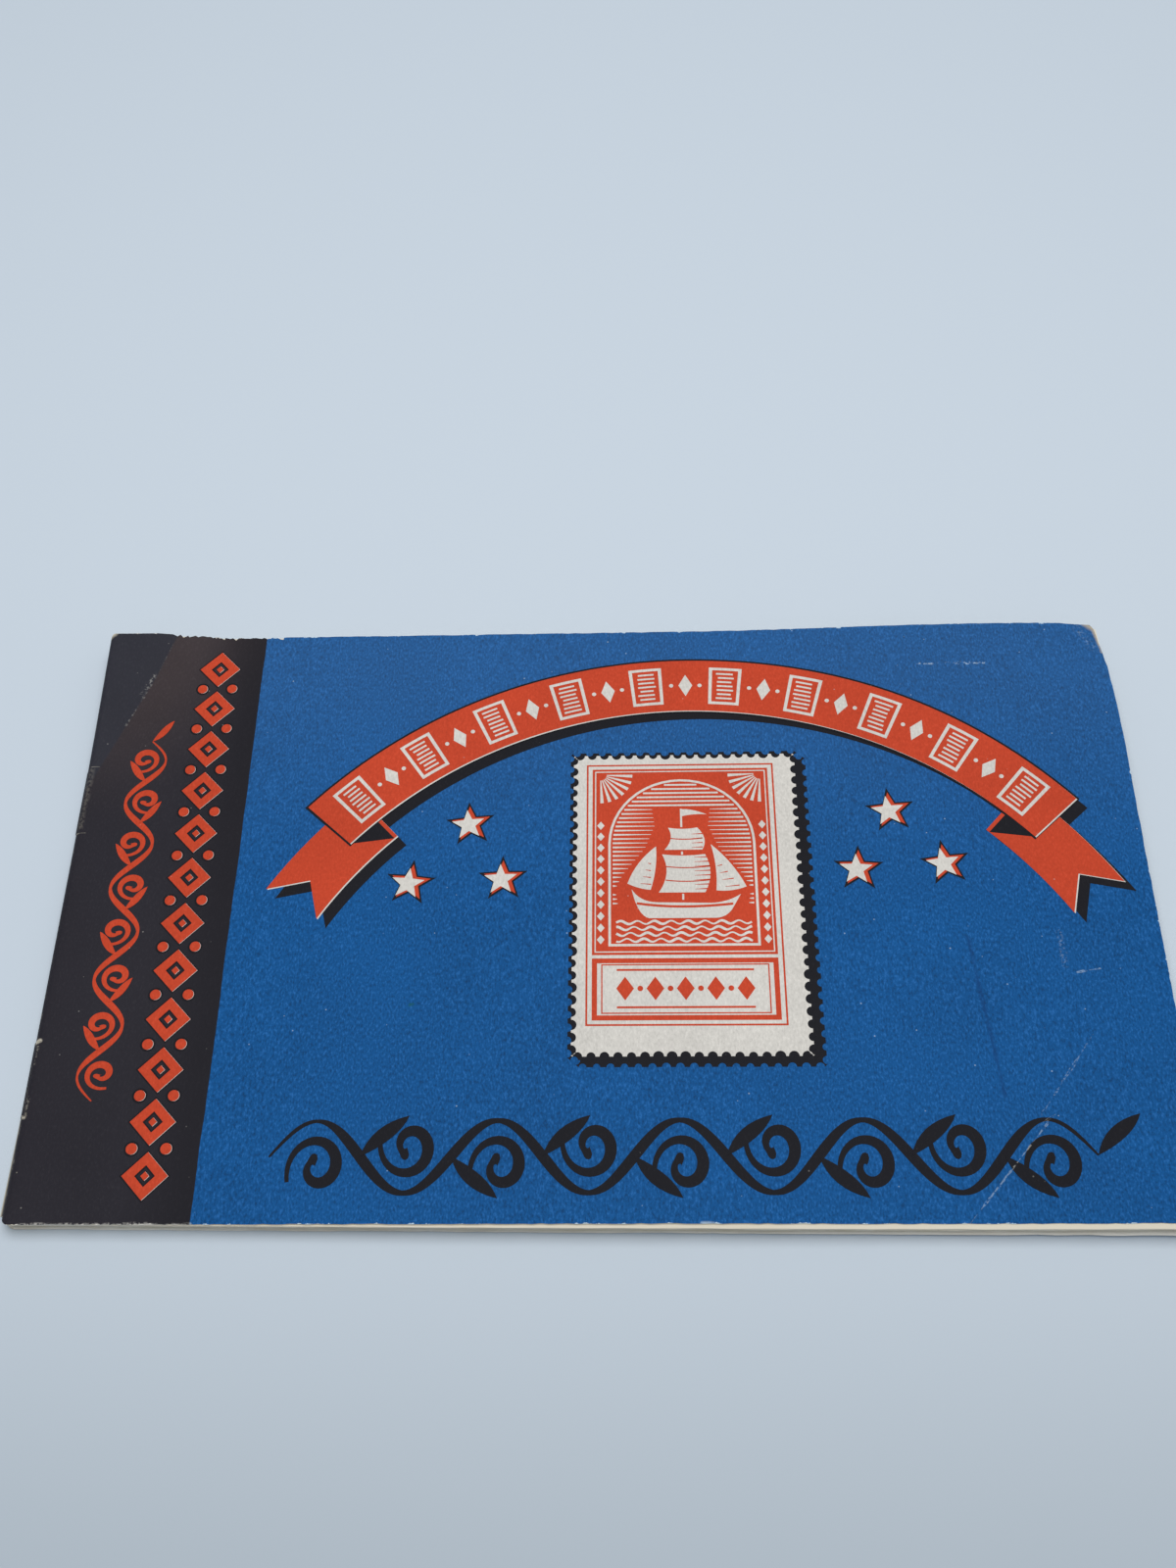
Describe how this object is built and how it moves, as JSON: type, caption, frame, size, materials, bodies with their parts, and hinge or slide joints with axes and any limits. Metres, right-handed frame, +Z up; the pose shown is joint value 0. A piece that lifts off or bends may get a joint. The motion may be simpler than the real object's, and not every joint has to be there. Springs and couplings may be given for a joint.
{
  "type": "stamp album",
  "caption": "Oblong soft-cover stamp album: a folded card cover and nested paper sheets, stapled through the spine; the cover and the leaves open about it.",
  "frame": {"origin": "bottom centre of the box around the closed album, on the back cover's outer face", "axes": "+X from the spine to the fore edge, +Y from the near edge to the far edge, +Z up out of the front cover"},
  "size_m": [0.2166, 0.1286, 0.0046],
  "materials": {
    "printed_card": "printed card, satin, worn at the edges",
    "page_paper": "uncoated paper, yellowed",
    "staple_wire": "dulled steel wire"
  },
  "bodies": {
    "back_cover": {"back_cover": "printed_card", "cover_spine": "printed_card", "sheet_1_fold": "page_paper", "sheet_2_fold": "page_paper", "sheet_3_fold": "page_paper", "sheet_4_fold": "page_paper", "sheet_5_fold": "page_paper", "sheet_6_fold": "page_paper", "sheet_7_fold": "page_paper", "sheet_8_fold": "page_paper", "staple_near": "staple_wire", "staple_far": "staple_wire"},
    "leaf_01": {"leaf_01": "page_paper"},
    "leaf_02": {"leaf_02": "page_paper"},
    "leaf_03": {"leaf_03": "page_paper"},
    "leaf_04": {"leaf_04": "page_paper"},
    "leaf_05": {"leaf_05": "page_paper"},
    "leaf_06": {"leaf_06": "page_paper"},
    "leaf_07": {"leaf_07": "page_paper"},
    "leaf_08": {"leaf_08": "page_paper"},
    "leaf_09": {"leaf_09": "page_paper"},
    "leaf_10": {"leaf_10": "page_paper"},
    "leaf_11": {"leaf_11": "page_paper"},
    "leaf_12": {"leaf_12": "page_paper"},
    "leaf_13": {"leaf_13": "page_paper"},
    "leaf_14": {"leaf_14": "page_paper"},
    "leaf_15": {"leaf_15": "page_paper"},
    "leaf_16": {"leaf_16": "page_paper"},
    "front_cover": {"front_cover": "printed_card"}
  },
  "joints": [
    {"name": "leaf_01_turn", "type": "hinge", "parent": "back_cover", "child": "leaf_01", "pos_m": [-0.10606, 0, 0.00168], "axis": [0, -1, 0], "range_deg": [0, 178.5]},
    {"name": "leaf_02_turn", "type": "hinge", "parent": "back_cover", "child": "leaf_02", "pos_m": [-0.10606, 0, 0.00168], "axis": [0, -1, 0], "range_deg": [0, 177.7]},
    {"name": "leaf_03_turn", "type": "hinge", "parent": "back_cover", "child": "leaf_03", "pos_m": [-0.10606, 0, 0.00168], "axis": [0, -1, 0], "range_deg": [0, 176.89]},
    {"name": "leaf_04_turn", "type": "hinge", "parent": "back_cover", "child": "leaf_04", "pos_m": [-0.10606, 0, 0.00168], "axis": [0, -1, 0], "range_deg": [0, 176.09]},
    {"name": "leaf_05_turn", "type": "hinge", "parent": "back_cover", "child": "leaf_05", "pos_m": [-0.10606, 0, 0.00168], "axis": [0, -1, 0], "range_deg": [0, 175.29]},
    {"name": "leaf_06_turn", "type": "hinge", "parent": "back_cover", "child": "leaf_06", "pos_m": [-0.10606, 0, 0.00168], "axis": [0, -1, 0], "range_deg": [0, 174.48]},
    {"name": "leaf_07_turn", "type": "hinge", "parent": "back_cover", "child": "leaf_07", "pos_m": [-0.10606, 0, 0.00168], "axis": [0, -1, 0], "range_deg": [0, 173.68]},
    {"name": "leaf_08_turn", "type": "hinge", "parent": "back_cover", "child": "leaf_08", "pos_m": [-0.10606, 0, 0.00168], "axis": [0, -1, 0], "range_deg": [0, 172.88]},
    {"name": "leaf_09_turn", "type": "hinge", "parent": "back_cover", "child": "leaf_09", "pos_m": [-0.10606, 0, 0.00168], "axis": [0, -1, 0], "range_deg": [0, 6.43]},
    {"name": "leaf_10_turn", "type": "hinge", "parent": "back_cover", "child": "leaf_10", "pos_m": [-0.10606, 0, 0.00168], "axis": [0, -1, 0], "range_deg": [0, 5.62]},
    {"name": "leaf_11_turn", "type": "hinge", "parent": "back_cover", "child": "leaf_11", "pos_m": [-0.10606, 0, 0.00168], "axis": [0, -1, 0], "range_deg": [0, 4.82]},
    {"name": "leaf_12_turn", "type": "hinge", "parent": "back_cover", "child": "leaf_12", "pos_m": [-0.10606, 0, 0.00168], "axis": [0, -1, 0], "range_deg": [0, 4.02]},
    {"name": "leaf_13_turn", "type": "hinge", "parent": "back_cover", "child": "leaf_13", "pos_m": [-0.10606, 0, 0.00168], "axis": [0, -1, 0], "range_deg": [0, 3.21]},
    {"name": "leaf_14_turn", "type": "hinge", "parent": "back_cover", "child": "leaf_14", "pos_m": [-0.10606, 0, 0.00168], "axis": [0, -1, 0], "range_deg": [0, 2.41]},
    {"name": "leaf_15_turn", "type": "hinge", "parent": "back_cover", "child": "leaf_15", "pos_m": [-0.10606, 0, 0.00168], "axis": [0, -1, 0], "range_deg": [0, 1.61]},
    {"name": "leaf_16_turn", "type": "hinge", "parent": "back_cover", "child": "leaf_16", "pos_m": [-0.10606, 0, 0.00168], "axis": [0, -1, 0], "range_deg": [0, 0.804]},
    {"name": "front_cover_open", "type": "hinge", "parent": "leaf_01", "child": "front_cover", "pos_m": [-0.10441, 0, 0.00341], "axis": [0, -1, 0], "range_deg": [0, 179.6]}
  ],
  "couplings": [
    {"joint": "leaf_02_turn", "follows": "leaf_01_turn", "ratio": 0.9955},
    {"joint": "leaf_03_turn", "follows": "leaf_01_turn", "ratio": 0.991},
    {"joint": "leaf_04_turn", "follows": "leaf_01_turn", "ratio": 0.9865},
    {"joint": "leaf_05_turn", "follows": "leaf_01_turn", "ratio": 0.982},
    {"joint": "leaf_06_turn", "follows": "leaf_01_turn", "ratio": 0.9775},
    {"joint": "leaf_07_turn", "follows": "leaf_01_turn", "ratio": 0.973},
    {"joint": "leaf_08_turn", "follows": "leaf_01_turn", "ratio": 0.9685},
    {"joint": "leaf_09_turn", "follows": "leaf_01_turn", "ratio": 0.036},
    {"joint": "leaf_10_turn", "follows": "leaf_01_turn", "ratio": 0.0315},
    {"joint": "leaf_11_turn", "follows": "leaf_01_turn", "ratio": 0.027},
    {"joint": "leaf_12_turn", "follows": "leaf_01_turn", "ratio": 0.0225},
    {"joint": "leaf_13_turn", "follows": "leaf_01_turn", "ratio": 0.018},
    {"joint": "leaf_14_turn", "follows": "leaf_01_turn", "ratio": 0.0135},
    {"joint": "leaf_15_turn", "follows": "leaf_01_turn", "ratio": 0.009},
    {"joint": "leaf_16_turn", "follows": "leaf_01_turn", "ratio": 0.0045}
  ]
}
